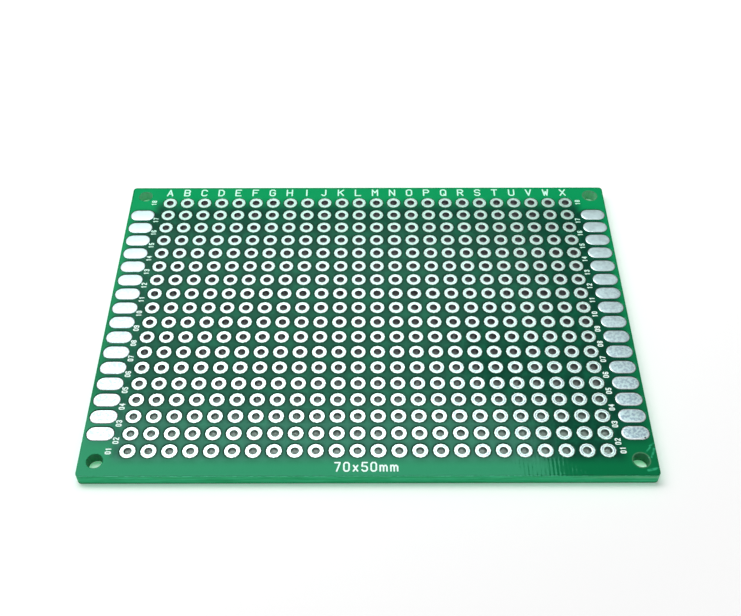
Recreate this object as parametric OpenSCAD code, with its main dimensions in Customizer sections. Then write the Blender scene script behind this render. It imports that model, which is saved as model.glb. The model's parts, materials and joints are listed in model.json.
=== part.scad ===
// Double-sided prototype board with a grid of plated through-holes.
// The board lies flat, its long side along X, its underside at Z = 0 and its centre at the origin.
// Rows are counted from the near long side (-Y), columns from the left short side (-X).

/* [Hole grid] */
// Distance between neighbouring holes, along and across the board
pitch = 2.54; // [2.3:0.01:3.5]
// Number of holes in a row, one lettered column each
columns = 24; // [4:1:26]
// Number of rows, one numbered row each
rows = 18; // [4:1:30]
// From the centre of an outer column to the short edge of the board
side_margin = 5.79; // [5.6:0.01:12]
// From the centre of an outer row to the long edge of the board, without the grid's shift
end_margin = 3.41; // [3.4:0.01:12]
// How far the drilled grid lies off the middle of the cut board, towards its far long edge
grid_shift = 0.2; // [0:0.05:0.25]

/* [Board] */
// Thickness of the drilled glass-epoxy sheet
laminate_t = 1.5; // [0.6:0.1:3]
// Radius of the board's four corners
corner_r = 0.5; // [0.2:0.1:2]
// Thickness of the green coat on each face
mask_t = 0.05; // [0.02:0.01:0.08]
// Bare ring that the coat leaves around every land and pad
mask_gap = 0.07; // [0.03:0.01:0.1]

/* [Plated holes] */
// Finished bore of a lead hole
hole_d = 1.0; // [0.6:0.05:1.2]
// Wall of the plated barrel, copper and tin together
plating_t = 0.05; // [0.03:0.01:0.1]
// Outer diameter of the ring that a barrel carries on each face
land_d = 2.0; // [1.6:0.05:2.1]
// Thickness of the tinned lands and edge pads
land_t = 0.05; // [0.03:0.01:0.08]

/* [Edge pads] */
// Length of an edge pad over its round ends, across the short edge
edge_pad_len = 3.45; // [2.2:0.05:3.5]
// Width of an edge pad
edge_pad_w = 2.0; // [1.2:0.05:2.1]
// From the outer end of an edge pad to the short edge of the board
edge_pad_inset = 0.35; // [0.15:0.05:1]
// Rows without an edge pad at each end of the short side
edge_pad_rows_left_out = 1; // [1:1:3]

/* [Mounting holes] */
// Diameter of the unplated hole in each corner
mounting_d = 2.0; // [1:0.1:2.2]
// From the centre of a mounting hole to both edges beside it, without the grid's shift
mounting_inset = 2.0; // [1.6:0.1:2.2]

/* [Lettering] */
// Thickness of the printed ink
ink_t = 0.02; // [0.01:0.01:0.05]
// Height of a column letter
letter_h = 1.4; // [0.8:0.05:1.4]
// Width of a column letter
letter_w = 0.95; // [0.6:0.05:1.4]
// Stroke of the column letters
letter_stroke = 0.2; // [0.1:0.01:0.22]
// From the tops of the column letters to the far long edge
letter_edge_gap = 0.4; // [0.3:0.05:0.5]
// Shift of the column letters from their columns, towards the left
letter_shift = 0.2; // [0:0.05:0.5]
// Height of a row number's digit, across its row
digit_h = 0.75; // [0.5:0.01:0.8]
// Width of a row number's digit
digit_w = 0.42; // [0.3:0.01:0.5]
// Space between the two digits of a row number
digit_gap = 0.11; // [0.06:0.01:0.2]
// Stroke of the row numbers
digit_stroke = 0.14; // [0.08:0.01:0.14]
// Shift of all row numbers towards the left
number_shift = 0.15; // [0:0.05:0.15]
// How far a left row number stands nearer than its row
left_number_drop = 1.05; // [0.6:0.05:1.3]
// How far a right row number stands nearer than its row
right_number_drop = 1.3; // [0.6:0.05:1.35]
// Outward shift of the first and last left row number, where no edge pad is
left_corner_shift = 0.7; // [0:0.05:0.8]
// Outward shift of the first and last right row number, where no edge pad is
right_corner_shift = 0.45; // [0:0.05:0.8]
// Height of the size marking's figures
marking_h = 1.38; // [0.8:0.01:1.4]
// Width of the size marking's figures
marking_w = 0.82; // [0.5:0.01:1]
// Space between the characters of the size marking
marking_gap = 0.27; // [0.2:0.01:0.4]
// Stroke of the size marking
marking_stroke = 0.2; // [0.1:0.01:0.22]
// From the foot of the size marking to the near long edge
marking_edge_gap = 0.62; // [0.3:0.01:0.8]
// Shift of the size marking from the board's middle, towards the left
marking_shift = 0.22; // [0:0.01:2]

/* [Hidden] */
$fn = 48;

grid_w = (columns - 1) * pitch;
grid_d = (rows - 1) * pitch;
board_w = grid_w + 2 * side_margin;
board_d = grid_d + 2 * end_margin;

// The thicker of coat and land lies on the ground
laminate_z = max(mask_t, land_t);
top_z = laminate_z + laminate_t;

hole_r = hole_d / 2;
barrel_r = hole_r + plating_t;
land_r = land_d / 2;
mounting_x = board_w / 2 - mounting_inset;
mounting_y = board_d / 2 - mounting_inset;

edge_pad_r = edge_pad_w / 2;
edge_pad_outer = board_w / 2 - edge_pad_inset;
edge_pad_inner = edge_pad_outer - edge_pad_len;
first_pad_row = 1 + edge_pad_rows_left_out;
last_pad_row = rows - edge_pad_rows_left_out;

// Row numbers stand midway between the outer lands and the edge pads
number_x = (grid_w / 2 + land_r + edge_pad_inner) / 2;

// A glyph is drawn on a grid of 4 by 6 units, the small letters on 4 units of its height
glyph_w = 4;
glyph_h = 6;
column_names = "ABCDEFGHIJKLMNOPQRSTUVWXYZ";
// Each stroke ends in half an octagon
cap_step = 45;
// The closed stroke of O, 0 and Q, in glyph units
ring_stroke = [[1, 0], [0, 1], [0, 5], [1, 6], [3, 6], [4, 5], [4, 1], [3, 0], [1, 0]];

function row_label(row) = str(row < 10 ? "0" : "", row);
function row_node(row) = str("hole_plating_row_", row_label(row));

function column_x(column) = (column - 1) * pitch - grid_w / 2;
function row_y(row) = (row - 1) * pitch - grid_d / 2 + grid_shift;

// Strokes of a glyph, each a chain of points
function glyph(c) =
    c == "A" ? [[[0, 0], [2, 6], [4, 0]], [[0.7, 2], [3.3, 2]]] :
    c == "B" ? [[[0, 3], [3, 3], [4, 4], [4, 5], [3, 6], [0, 6], [0, 0], [3, 0], [4, 1], [4, 2], [3, 3]]] :
    c == "C" ? [[[4, 5], [3, 6], [1, 6], [0, 5], [0, 1], [1, 0], [3, 0], [4, 1]]] :
    c == "D" ? [[[0, 0], [0, 6], [2.5, 6], [4, 4.5], [4, 1.5], [2.5, 0], [0, 0]]] :
    c == "E" ? [[[4, 6], [0, 6], [0, 0], [4, 0]], [[0, 3], [3, 3]]] :
    c == "F" ? [[[4, 6], [0, 6], [0, 0]], [[0, 3], [3, 3]]] :
    c == "G" ? [[[4, 5], [3, 6], [1, 6], [0, 5], [0, 1], [1, 0], [3, 0], [4, 1], [4, 3], [2.4, 3]]] :
    c == "H" ? [[[0, 0], [0, 6]], [[4, 0], [4, 6]], [[0, 3], [4, 3]]] :
    c == "I" ? [[[2, 0], [2, 6]]] :
    c == "J" ? [[[0.5, 1], [1.5, 0], [2.5, 0], [3.5, 1], [3.5, 6]]] :
    c == "K" ? [[[0, 0], [0, 6]], [[4, 6], [0, 2.5]], [[1.4, 3.7], [4, 0]]] :
    c == "L" ? [[[0, 6], [0, 0], [4, 0]]] :
    c == "M" ? [[[0, 0], [0, 6], [2, 3], [4, 6], [4, 0]]] :
    c == "N" ? [[[0, 0], [0, 6], [4, 0], [4, 6]]] :
    c == "O" || c == "0" ? [ring_stroke] :
    c == "P" ? [[[0, 0], [0, 6], [3, 6], [4, 5], [4, 4], [3, 3], [0, 3]]] :
    c == "Q" ? [ring_stroke, [[2.5, 1.5], [4, 0]]] :
    c == "R" ? [[[0, 0], [0, 6], [3, 6], [4, 5], [4, 4], [3, 3], [0, 3]], [[2, 3], [4, 0]]] :
    c == "S" ? [[[4, 5], [3, 6], [1, 6], [0, 5], [0, 4], [1, 3],
                 [3, 3], [4, 2], [4, 1], [3, 0], [1, 0], [0, 1]]] :
    c == "T" ? [[[0, 6], [4, 6]], [[2, 6], [2, 0]]] :
    c == "U" ? [[[0, 6], [0, 1], [1, 0], [3, 0], [4, 1], [4, 6]]] :
    c == "V" ? [[[0, 6], [2, 0], [4, 6]]] :
    c == "W" ? [[[0, 6], [1, 0], [2, 4], [3, 0], [4, 6]]] :
    c == "X" ? [[[0, 0], [4, 6]], [[0, 6], [4, 0]]] :
    c == "Y" ? [[[0, 6], [2, 3], [4, 6]], [[2, 3], [2, 0]]] :
    c == "Z" ? [[[0, 6], [4, 6], [0, 0], [4, 0]]] :
    c == "1" ? [[[0.8, 4.8], [2, 6], [2, 0]]] :
    c == "2" ? [[[0, 5], [1, 6], [3, 6], [4, 5], [4, 4], [0, 0], [4, 0]]] :
    c == "3" ? [[[0, 5], [1, 6], [3, 6], [4, 5], [4, 4], [3, 3],
                 [4, 2], [4, 1], [3, 0], [1, 0], [0, 1]], [[1.6, 3], [3, 3]]] :
    c == "4" ? [[[3, 0], [3, 6], [0, 2], [4, 2]]] :
    c == "5" ? [[[4, 6], [0.4, 6], [0, 3.4], [3, 3.4], [4, 2.4], [4, 1], [3, 0], [1, 0], [0, 1]]] :
    c == "6" ? [[[4, 5], [3, 6], [1, 6], [0, 5], [0, 1], [1, 0], [3, 0], [4, 1], [4, 2], [3, 3], [0, 3]]] :
    c == "7" ? [[[0, 6], [4, 6], [1.5, 0]]] :
    c == "8" ? [[[1, 3], [0, 4], [0, 5], [1, 6], [3, 6], [4, 5], [4, 4], [3, 3],
                 [4, 2], [4, 1], [3, 0], [1, 0], [0, 1], [0, 2], [1, 3], [3, 3]]] :
    c == "9" ? [[[0, 1], [1, 0], [3, 0], [4, 1], [4, 5], [3, 6], [1, 6], [0, 5], [0, 4], [1, 3], [4, 3]]] :
    c == "x" ? [[[0.4, 0], [3.6, 4]], [[0.4, 4], [3.6, 0]]] :
    c == "m" ? [[[0, 0], [0, 4]], [[0, 3], [1, 4], [1.8, 4], [2.6, 3], [2.6, 0]],
                [[2.6, 3], [3.6, 4], [4.4, 4], [5.2, 3], [5.2, 0]]] :
    [];

// Width of a character in glyph units
function glyph_units(c) = c == "m" ? 5.2 : glyph_w;
// Width of a character with its stroke, where a plain one is char_w wide
function char_width(c, char_w, stroke) = (char_w - stroke) * glyph_units(c) / glyph_w + stroke;
// Where the character with this index starts
function char_start(label, index, char_w, gap, stroke) =
    index == 0 ? 0
    : char_start(label, index - 1, char_w, gap, stroke) + char_width(label[index - 1], char_w, stroke) + gap;
function label_width(label, char_w, gap, stroke) =
    char_start(label, len(label), char_w, gap, stroke) - gap;

module board_outline() {
    square([board_w - 2 * corner_r, board_d], center = true);
    square([board_w, board_d - 2 * corner_r], center = true);
    for (sx = [-1, 1], sy = [-1, 1])
        translate([sx * (board_w / 2 - corner_r), sy * (board_d / 2 - corner_r)]) circle(corner_r);
}

// Holes of the whole grid, all of one radius
module grid_holes(r) {
    for (column = [1 : columns], row = [1 : rows])
        translate([column_x(column), row_y(row)]) circle(r);
}

module mounting_holes() {
    for (sx = [-1, 1], sy = [-1, 1])
        translate([sx * mounting_x, sy * mounting_y + grid_shift]) circle(mounting_d / 2);
}

// Outlines of the edge pads on one short side, each larger by grow all round
module edge_pad_outlines(side, grow = 0) {
    r = edge_pad_r + grow;
    near_end = edge_pad_inner + edge_pad_r;
    far_end = edge_pad_outer - edge_pad_r;
    for (row = [first_pad_row : last_pad_row])
        translate([side * (near_end + far_end) / 2, row_y(row)]) {
            square([far_end - near_end, 2 * r], center = true);
            for (end = [-1, 1]) translate([end * (far_end - near_end) / 2, 0]) circle(r);
        }
}

// One stroke from a to b with angular ends
module stroke(a, b, width) {
    heading = atan2(b.y - a.y, b.x - a.x);
    polygon([
        for (turn = [90 : cap_step : 270]) a + width / 2 * [cos(heading + turn), sin(heading + turn)],
        for (turn = [-90 : cap_step : 90]) b + width / 2 * [cos(heading + turn), sin(heading + turn)]
    ]);
}

// A label whose lower left corner is at the origin
module label_outline(label, char_w, char_h, gap, width) {
    scale_x = (char_w - width) / glyph_w;
    scale_y = (char_h - width) / glyph_h;
    for (index = [0 : len(label) - 1]) {
        start = [char_start(label, index, char_w, gap, width) + width / 2, width / 2];
        for (chain = glyph(label[index]), k = [1 : len(chain) - 1])
            stroke(start + [scale_x * chain[k - 1].x, scale_y * chain[k - 1].y],
                   start + [scale_x * chain[k].x, scale_y * chain[k].y], width);
    }
}

module laminate() {
    color("mediumseagreen")
    translate([0, 0, laminate_z]) linear_extrude(laminate_t) difference() {
        board_outline();
        grid_holes(barrel_r);
        mounting_holes();
    }
}

// Green coat whose lower face is at z
module solder_mask(z) {
    color("seagreen")
    translate([0, 0, z]) linear_extrude(mask_t) difference() {
        board_outline();
        grid_holes(land_r + mask_gap);
        mounting_holes();
        edge_pad_outlines(-1, mask_gap);
        edge_pad_outlines(1, mask_gap);
    }
}

// Barrel with a land on each face, upright on the origin's axis
module plated_hole() {
    low = laminate_z - land_t;
    high = top_z + land_t;
    rotate_extrude() polygon([
        [hole_r, low], [land_r, low], [land_r, laminate_z], [barrel_r, laminate_z],
        [barrel_r, top_z], [land_r, top_z], [land_r, high], [hole_r, high]
    ]);
}

module plated_row(row) {
    color("silver")
    for (column = [1 : columns]) translate([column_x(column), row_y(row), 0]) plated_hole();
}

// Edge pads of one short side whose lower faces are at z
module edge_pads(side, z) {
    color("silver")
    translate([0, 0, z]) linear_extrude(land_t) edge_pad_outlines(side);
}

// Printed ink on the top coat
module ink() {
    color("white")
    translate([0, 0, top_z + mask_t]) linear_extrude(ink_t) children();
}

module column_letters() {
    foot_y = board_d / 2 - letter_edge_gap - letter_h;
    ink() for (column = [1 : columns])
        translate([column_x(column) - letter_shift - letter_w / 2, foot_y])
            label_outline(column_names[column - 1], letter_w, letter_h, 0, letter_stroke);
}

// Row numbers of one short side, read from the right of the board
module row_numbers(side, drop, corner_shift) {
    ink() for (row = [1 : rows]) {
        beside_pad = row >= first_pad_row && row <= last_pad_row;
        out = number_x + (beside_pad ? 0 : corner_shift);
        label = row_label(row);
        width = label_width(label, digit_w, digit_gap, digit_stroke);
        translate([side * out - number_shift + digit_h / 2, row_y(row) - (beside_pad ? drop : 0) - width / 2])
            rotate(90) label_outline(label, digit_w, digit_h, digit_gap, digit_stroke);
    }
}

module size_marking() {
    label = str(round(board_w), "x", round(board_d), "mm");
    width = label_width(label, marking_w, marking_gap, marking_stroke);
    ink() translate([-marking_shift - width / 2, marking_edge_gap - board_d / 2])
        label_outline(label, marking_w, marking_h, marking_gap, marking_stroke);
}

laminate();
solder_mask(top_z);  // solder_mask_top
solder_mask(laminate_z - mask_t);  // solder_mask_bottom
for (row = [1 : rows]) plated_row(row);
edge_pads(-1, top_z);  // edge_pads_left_top
edge_pads(1, top_z);  // edge_pads_right_top
edge_pads(-1, laminate_z - land_t);  // edge_pads_left_bottom
edge_pads(1, laminate_z - land_t);  // edge_pads_right_bottom
column_letters();
row_numbers(-1, left_number_drop, left_corner_shift);  // row_numbers_left
row_numbers(1, right_number_drop, right_corner_shift);  // row_numbers_right
size_marking();
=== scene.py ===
"""Looks of a double-sided prototype board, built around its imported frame.

The board lies flat on a pale floor with its long side along X, row 01 nearest the camera. Each
piece is worked out with numpy from the sizes that the frame gives, and stands for the node of the
same place. All lengths are metres.
"""

import json
import logging
import math
from dataclasses import dataclass, field
from enum import Enum

import bpy
import numpy as np
from mathutils import Matrix, Vector


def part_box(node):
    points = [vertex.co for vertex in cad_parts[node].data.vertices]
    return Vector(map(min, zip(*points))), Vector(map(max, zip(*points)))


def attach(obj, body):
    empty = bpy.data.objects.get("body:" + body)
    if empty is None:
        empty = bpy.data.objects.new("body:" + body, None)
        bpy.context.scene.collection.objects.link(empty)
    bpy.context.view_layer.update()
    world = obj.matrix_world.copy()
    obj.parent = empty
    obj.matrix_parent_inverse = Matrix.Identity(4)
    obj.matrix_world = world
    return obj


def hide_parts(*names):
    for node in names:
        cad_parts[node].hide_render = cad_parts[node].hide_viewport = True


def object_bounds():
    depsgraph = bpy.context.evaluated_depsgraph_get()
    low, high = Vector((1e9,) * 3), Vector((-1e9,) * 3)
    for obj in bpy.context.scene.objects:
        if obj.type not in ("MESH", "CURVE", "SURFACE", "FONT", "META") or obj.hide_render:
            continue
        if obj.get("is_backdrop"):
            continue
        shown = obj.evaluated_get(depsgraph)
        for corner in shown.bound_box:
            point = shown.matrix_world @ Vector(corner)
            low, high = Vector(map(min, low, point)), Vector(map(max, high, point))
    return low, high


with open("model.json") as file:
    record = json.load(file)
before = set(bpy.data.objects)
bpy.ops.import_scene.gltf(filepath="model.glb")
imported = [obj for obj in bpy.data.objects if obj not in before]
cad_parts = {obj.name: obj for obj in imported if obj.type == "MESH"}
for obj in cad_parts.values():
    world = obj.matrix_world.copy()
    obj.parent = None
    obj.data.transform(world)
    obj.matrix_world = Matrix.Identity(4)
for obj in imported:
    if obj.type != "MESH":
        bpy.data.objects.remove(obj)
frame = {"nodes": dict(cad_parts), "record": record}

CAD_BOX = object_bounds()
MM = 0.001
BODY = "root"
WELD_STEP = 1e-7
TINY = 1e-9  # keeps a division away from zero
log = logging.getLogger("prototype_board")

Piece = bpy.types.Object
Material = bpy.types.Material
Color = tuple[float, float, float]
# Where a smooth step starts and ends, and then what it gives there if that isn't 0 and 1.
Band = tuple[float, ...]
# The waves of a noise in a metre, and then its detail and stretch if they aren't the plain ones.
Noise = tuple[float | tuple[float, float, float], ...]


class Slot(Enum):
    """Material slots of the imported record."""

    GLASS_EPOXY = "glass_epoxy"
    SOLDER_MASK = "solder_mask"
    TINNED_COPPER = "tinned_copper"


class Face(Enum):
    """The board's two faces, by the direction that they look in."""

    TOP = 1
    BOTTOM = -1


@dataclass(frozen=True)
class BoardSizes:
    """Sizes of the board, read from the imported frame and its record.

    The last three can't be read there, and repeat the values of the part's source.
    """

    width: float
    depth: float
    laminate_low: float
    laminate_high: float
    top: float
    columns: int
    rows: int
    pitch: float
    grid_shift: float
    land_r: float
    hole_r: float
    mounting_r: float
    mounting_x: float
    mounting_y: float
    pad_inner: float
    pad_outer: float
    pad_r: float
    pads_y: float
    plating_t: float = 0.05 * MM
    mask_gap: float = 0.07 * MM
    corner_r: float = 0.5 * MM

    @property
    def grid_x(self) -> float:
        """Distance of the outer columns from the middle."""
        return (self.columns - 1) * self.pitch / 2

    @property
    def grid_y(self) -> float:
        """Distance of the outer rows from the middle."""
        return (self.rows - 1) * self.pitch / 2

    @property
    def pad_middle(self) -> float:
        """Distance of the edge pads' centres from the middle."""
        return (self.pad_inner + self.pad_outer) / 2

    @property
    def pad_straight(self) -> float:
        """Half the length of an edge pad's straight side."""
        return (self.pad_outer - self.pad_inner) / 2 - self.pad_r

    @property
    def long_edges(self) -> tuple[float, float]:
        """Distances of the far and the near long edge from the grid's middle."""
        return self.depth / 2 - self.grid_shift, self.depth / 2 + self.grid_shift

    @classmethod
    def from_frame(cls) -> "BoardSizes":
        """Reads the sizes from the boxes of the nodes and the record's mounts.

        Returns:
            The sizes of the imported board.
        """
        low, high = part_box("laminate")
        first_low, first_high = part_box("hole_plating_row_01")
        rows = sum(name.startswith("hole_plating_row_") for name in frame["nodes"])
        last_low, last_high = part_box(f"hole_plating_row_{rows:02d}")
        pad_low, pad_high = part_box("edge_pads_right_top")
        land_r = (first_high.y - first_low.y) / 2
        pitch = (last_low.y - first_low.y) / (rows - 1)
        mounts = {mount["name"]: mount["dims"] for mount in frame["record"]["mounts"]}
        corners, lead = mounts["mounting_holes"], mounts["lead_hole_first"]
        pad_rows = round((pad_high.y - pad_low.y) / pitch)
        return cls(
            width=high.x - low.x,
            depth=high.y - low.y,
            laminate_low=low.z,
            laminate_high=high.z,
            top=high.z + (low.z - first_low.z),
            columns=round((first_high.x - first_low.x - 2 * land_r) / pitch) + 1,
            rows=rows,
            pitch=pitch,
            grid_shift=(first_low.y + last_high.y) / 2,
            land_r=land_r,
            hole_r=lead["r_mm"] * MM,
            mounting_r=corners["hole_r_mm"] * MM,
            mounting_x=corners["spacing_x_mm"] * MM / 2,
            mounting_y=corners["spacing_y_mm"] * MM / 2,
            pad_inner=pad_low.x,
            pad_outer=pad_high.x,
            pad_r=(pad_high.y - pad_low.y - (pad_rows - 1) * pitch) / 2,
            pads_y=(pad_rows - 1) * pitch / 2,
        )


def place_object(name: str, data: bpy.types.ID) -> Piece:
    """Makes an object of some data at the origin and puts it in the scene.

    Args:
        name: Name of the object.
        data: Its mesh, lamp or camera.

    Returns:
        The new object.
    """
    piece = bpy.data.objects.new(name, data)
    bpy.context.scene.collection.objects.link(piece)
    return piece


@dataclass
class MeshDraft:
    """Points and faces gathered as whole arrays, then welded into one closed mesh.

    The points are given from the grid's middle, and shift_y moves them all to the board's.
    """

    shift_y: float
    points: list[np.ndarray] = field(default_factory=list)
    quads: list[np.ndarray] = field(default_factory=list)
    polygons: list[np.ndarray] = field(default_factory=list)
    count: int = 0

    def number(self, points: np.ndarray) -> np.ndarray:
        """Adds points and numbers them on from those that are there.

        Args:
            points: Points of shape (..., 3).

        Returns:
            Each point's number, of shape (...).
        """
        index = np.arange(points[..., 0].size).reshape(points.shape[:-1]) + self.count
        self.points.append(points.reshape(-1, 3))
        self.count += index.size
        return index

    def add_rings(self, rings: np.ndarray, closed: bool = True, looped: bool = False) -> None:
        """Adds copies of a surface that joins each ring of points to the next one.

        The faces look outwards where the rings run counter-clockwise, seen from above, and follow
        the surface inwards over its top, down its hole and outwards under it.

        Args:
            rings: Points of shape (copies, rings, points in a ring, 3).
            closed: Whether each ring's last point joins its first.
            looped: Whether the last ring joins the first.
        """
        index = self.number(rings)
        if looped:
            index = np.concatenate([index, index[:, :1]], axis=1)
        if closed:
            index = np.concatenate([index, index[:, :, :1]], axis=2)
        upper, lower = index[:, :-1], index[:, 1:]
        quads = [upper[..., :-1], upper[..., 1:], lower[..., 1:], lower[..., :-1]]
        self.quads.append(np.stack(quads, axis=-1).reshape(-1, 4))

    def add_caps(self, rings: np.ndarray, reverse: bool = False) -> None:
        """Closes each ring with one flat polygon.

        Args:
            rings: Points of shape (copies, points in a ring, 3), counter-clockwise from above.
            reverse: Whether the polygon looks down and not up.
        """
        index = self.number(rings)
        self.polygons.append(index[:, ::-1] if reverse else index)

    def build(self, name: str, sharp_degrees: float) -> Piece:
        """Welds equal points, writes the mesh and makes its object at the origin.

        A point's key is its place in steps of WELD_STEP, so points that agree to that step
        become one vertex.

        Args:
            name: Name of the piece.
            sharp_degrees: Edges that bend more than this angle are shaded sharp.

        Returns:
            The new object.
        """
        points = np.concatenate(self.points) + [0.0, self.shift_y, 0.0]
        keys = np.round(points / WELD_STEP).astype(np.int64)
        _, first, inverse = np.unique(keys, axis=0, return_index=True, return_inverse=True)
        inverse = inverse.reshape(-1)
        faces = [inverse[group] for group in (*self.quads, *self.polygons)]
        corners = np.concatenate([group.reshape(-1) for group in faces])
        totals = np.concatenate([np.full(len(group), group.shape[1]) for group in faces])
        starts = np.concatenate([[0], np.cumsum(totals)[:-1]])
        mesh = bpy.data.meshes.new(name)
        mesh.vertices.add(len(first))
        mesh.vertices.foreach_set("co", points[first].astype(np.float32).reshape(-1))
        mesh.loops.add(len(corners))
        mesh.loops.foreach_set("vertex_index", corners.astype(np.int32))
        mesh.polygons.add(len(totals))
        mesh.polygons.foreach_set("loop_start", starts.astype(np.int32))
        mesh.update(calc_edges=True)
        mesh.validate()
        mesh.polygons.foreach_set("use_smooth", np.ones(len(mesh.polygons), dtype=bool))
        mesh.set_sharp_from_angle(angle=math.radians(sharp_degrees))
        return place_object(name, mesh)


def plan(x: float | np.ndarray, y: float | np.ndarray) -> np.ndarray:
    """Plan points of shape (..., 2) from X and Y, each an array or one number for all."""
    return np.stack(np.broadcast_arrays(x, y), axis=-1)


def lift(outline: np.ndarray, height: float | np.ndarray) -> np.ndarray:
    """Gives plan points a height, one for all or one for each, as points of shape (..., 3)."""
    heights = np.broadcast_to(height, outline.shape[:-1])
    return np.concatenate([outline, heights[..., None]], axis=-1)


def copies_at(places: np.ndarray, rings: np.ndarray) -> np.ndarray:
    """Adds each plan place to all the rings, as points of shape (places, rings, n, 3)."""
    return rings[None] + lift(places, 0.0)[:, None, None, :]


def radial_outline(directions: np.ndarray, radius: float, straight: float = 0.0) -> np.ndarray:
    """Where rays from the centre meet a circle, or a slot with round ends along X.

    With c and s the size of a ray's unit X and Y, the slot's straight side is met at radius / s
    if that point lies within `straight`, and otherwise the end circle is met at
    straight * c + sqrt(radius^2 - straight^2 * s^2).

    Args:
        directions: Ray directions of shape (n, 2), of any length.
        radius: Radius of the circle or of the slot's ends.
        straight: Half the length of the slot's straight side.

    Returns:
        Points of shape (n, 2) round the centre.
    """
    unit = directions / np.linalg.norm(directions, axis=1, keepdims=True)
    c, s = np.abs(unit).T
    side = radius / np.maximum(s, TINY)
    end = straight * c + np.sqrt(np.maximum(radius**2 - (straight * s) ** 2, 0))
    return unit * np.where(side * c <= straight, side, end)[:, None]


@dataclass(frozen=True)
class PlanGrid:
    """The lines that divide the board's plan into cells, so that neighbours share their points.

    Its places are taken from the grid's middle. A long edge is given by its distance from there,
    and what lies at the far edge is worked out for its right half.
    """

    sizes: BoardSizes
    cell_steps: int = 5
    pad_steps: int = 10
    edge_steps: int = 3
    corner_steps: int = 4

    @property
    def half_cell(self) -> np.ndarray:
        """Points along a cell's side, at equal angles from its centre, from -pitch/2 to pitch/2."""
        angles = np.linspace(-math.pi / 4, math.pi / 4, self.cell_steps + 1)
        return np.tan(angles) * self.sizes.pitch / 2

    @property
    def field_x(self) -> float:
        """Half the width of the field of hole cells."""
        return self.sizes.columns * self.sizes.pitch / 2

    @property
    def field_y(self) -> float:
        """Half the depth of the field of hole cells."""
        return self.sizes.rows * self.sizes.pitch / 2

    @property
    def column_x(self) -> np.ndarray:
        """Places of the columns."""
        return (np.arange(self.sizes.columns) - (self.sizes.columns - 1) / 2) * self.sizes.pitch

    @property
    def row_y(self) -> np.ndarray:
        """Places of the rows."""
        return (np.arange(self.sizes.rows) - (self.sizes.rows - 1) / 2) * self.sizes.pitch

    @property
    def corner_y(self) -> float:
        """Where the corner cells begin, past the last edge pad."""
        return self.sizes.pads_y + self.sizes.pitch / 2

    @property
    def pad_row_y(self) -> np.ndarray:
        """Places of the rows that have edge pads."""
        return self.row_y[np.abs(self.row_y) < self.corner_y]

    @property
    def long_line(self) -> np.ndarray:
        """X of every point along a long edge of the field, from left to right."""
        steps = self.column_x[:, None] + self.half_cell[None, :-1]
        return np.append(steps.reshape(-1), self.field_x)

    def strip_levels(self, edge: float) -> np.ndarray:
        """Lines of the strip between the field and a long edge, from the field outwards."""
        return np.linspace(self.field_y, edge, self.edge_steps + 1)

    def pad_lines(self) -> np.ndarray:
        """X of the points across a short side, from the field to the last before the edge."""
        return np.linspace(self.field_x, self.sizes.width / 2, self.pad_steps + 1)[:-1]

    def hole_cell(self) -> np.ndarray:
        """Outline of a hole's cell round its centre.

        Returns:
            Points of shape (n, 2), counter-clockwise from the lower left.
        """
        line, half = self.half_cell[:-1], self.sizes.pitch / 2
        return np.concatenate([
            plan(line, -half), plan(half, line), plan(-line, half), plan(-half, -line),
        ])

    def pad_cell(self) -> np.ndarray:
        """Outline of a right edge pad's cell on its row's line.

        Returns:
            Points of shape (n, 2), counter-clockwise from the lower left.
        """
        inner, outer, across = self.field_x, self.sizes.width / 2, self.pad_lines()
        line, half = self.half_cell[:-1], self.sizes.pitch / 2
        return np.concatenate([
            plan(across, -half), plan(outer, line),
            plan(inner + outer - across, half), plan(inner, -line),
        ])

    def corner_turn(self, edge: float) -> np.ndarray:
        """The board's outline round its right corner: side, arc and the stretch to the field.

        The arc is (x1 - r + r * cos a, edge - r + r * sin a) for equal steps of the angle a, with
        x1 half the board's width and r the corner's radius.

        Args:
            edge: Distance of the long edge from the grid's middle.

        Returns:
            Points of shape (n, 2), counter-clockwise.
        """
        x1, r = self.sizes.width / 2, self.sizes.corner_r
        side = np.linspace(self.corner_y, edge - r, self.cell_steps + 1)[:-1]
        arc = np.linspace(0, math.pi / 2, self.corner_steps + 1)
        end = np.linspace(x1 - r, self.field_x, self.cell_steps + 1)[1:-1]
        return np.concatenate([
            plan(x1, side),
            plan(x1 - r + r * np.cos(arc), edge - r + r * np.sin(arc)),
            plan(end, edge),
        ])

    def corner_cell(self, edge: float) -> np.ndarray:
        """Outline of the right corner's cell at a long edge.

        Args:
            edge: Distance of the long edge from the grid's middle.

        Returns:
            Points of shape (n, 2), counter-clockwise from the lower left.
        """
        x0, y0 = self.field_x, self.corner_y
        rows = self.row_y[self.row_y > y0][::-1]
        inside = (rows[:, None] - self.half_cell[None, :-1]).reshape(-1)
        return np.concatenate([
            plan(self.pad_lines(), y0), self.corner_turn(edge),
            plan(x0, self.strip_levels(edge)[:0:-1]), plan(x0, inside),
        ])

    def perimeter(self) -> np.ndarray:
        """The board's outline through all points that the cells put on it.

        Returns:
            Points of shape (n, 2), counter-clockwise.
        """
        side_y = (self.pad_row_y[:, None] + self.half_cell[None, :-1]).reshape(-1)
        right = plan(self.sizes.width / 2, side_y)
        (far_turn, far), (near_turn, near) = (
            (self.corner_turn(edge), plan(self.long_line[::-1], edge))
            for edge in self.sizes.long_edges
        )
        return np.concatenate([
            right, far_turn, far, (far_turn * [-1, 1])[:0:-1],
            -right, -near_turn, -near, (near_turn * [1, -1])[:0:-1],
        ])


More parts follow.
